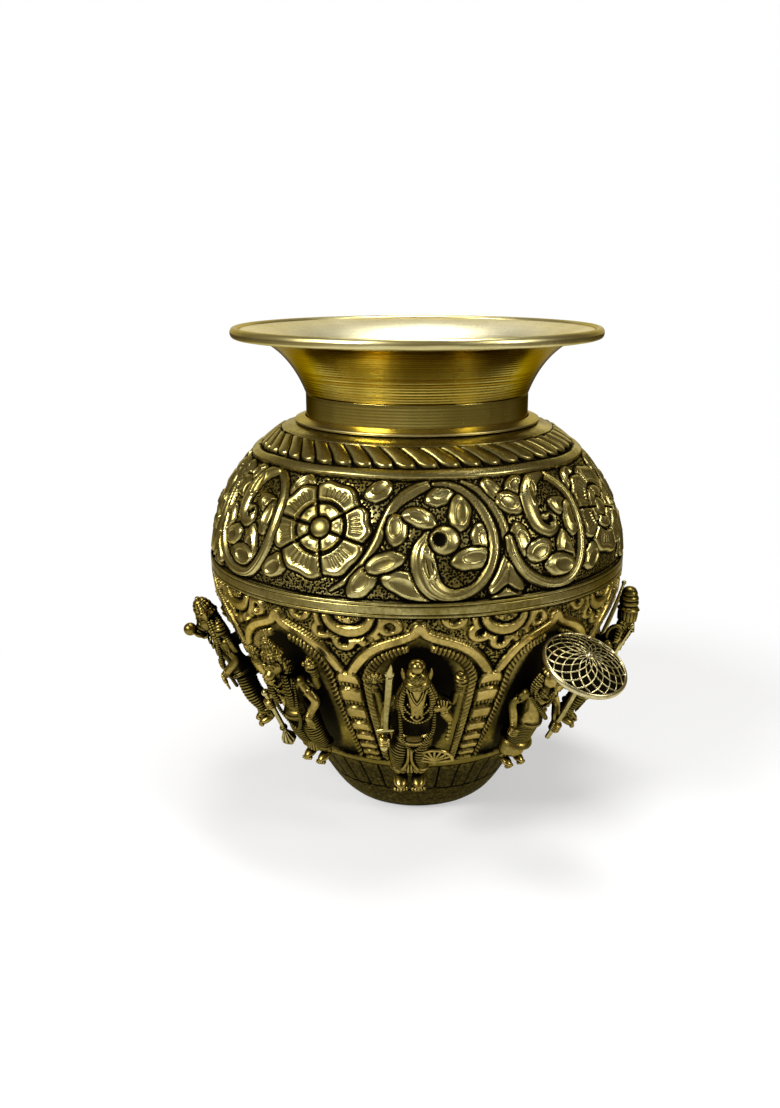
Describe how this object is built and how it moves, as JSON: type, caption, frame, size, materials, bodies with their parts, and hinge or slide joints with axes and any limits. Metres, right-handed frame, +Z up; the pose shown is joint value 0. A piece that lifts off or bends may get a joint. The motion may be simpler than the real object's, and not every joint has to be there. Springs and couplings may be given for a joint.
{
  "type": "kalash",
  "caption": "Round-bellied brass ritual pot with a short neck, a broad flared mouth, an embossed belly, and cast figures standing in arched bays round its lower half.",
  "frame": {"origin": "middle of the flat base, in the plane it stands on", "axes": "+Z up through the mouth, -Y towards the viewer of the picture, +X to that viewer's right"},
  "size_m": [0.1438, 0.1487, 0.1524],
  "materials": {
    "beaten_brass": "embossed and darkened with an antique patina, worn bright on the high parts",
    "turned_brass": "turned and polished, with fine turning lines",
    "cast_brass": "cast, darkened in the hollows and rubbed bright on the high parts"
  },
  "bodies": {
    "root": {"base_plate": "beaten_brass", "lower_shell": "beaten_brass", "upper_shell": "beaten_brass", "belly_band": "beaten_brass", "shoulder_ring": "turned_brass", "neck_collar": "turned_brass", "flared_mouth": "turned_brass", "rim_bead": "turned_brass", "horse_headed_figure": "cast_brass", "sword": "cast_brass", "parasol_bearer": "cast_brass", "parasol_stick": "cast_brass", "parasol_canopy": "cast_brass", "axe_bearer": "cast_brass", "axe": "cast_brass", "bow_bearer": "cast_brass", "bow": "cast_brass", "plough_bearer": "cast_brass", "plough": "cast_brass", "flute_player": "cast_brass", "flute": "cast_brass", "fish_bodied_figure": "cast_brass", "tortoise_bodied_figure": "cast_brass", "boar_headed_figure": "cast_brass", "lion_headed_figure": "cast_brass", "mace": "cast_brass"}
  },
  "joints": []
}
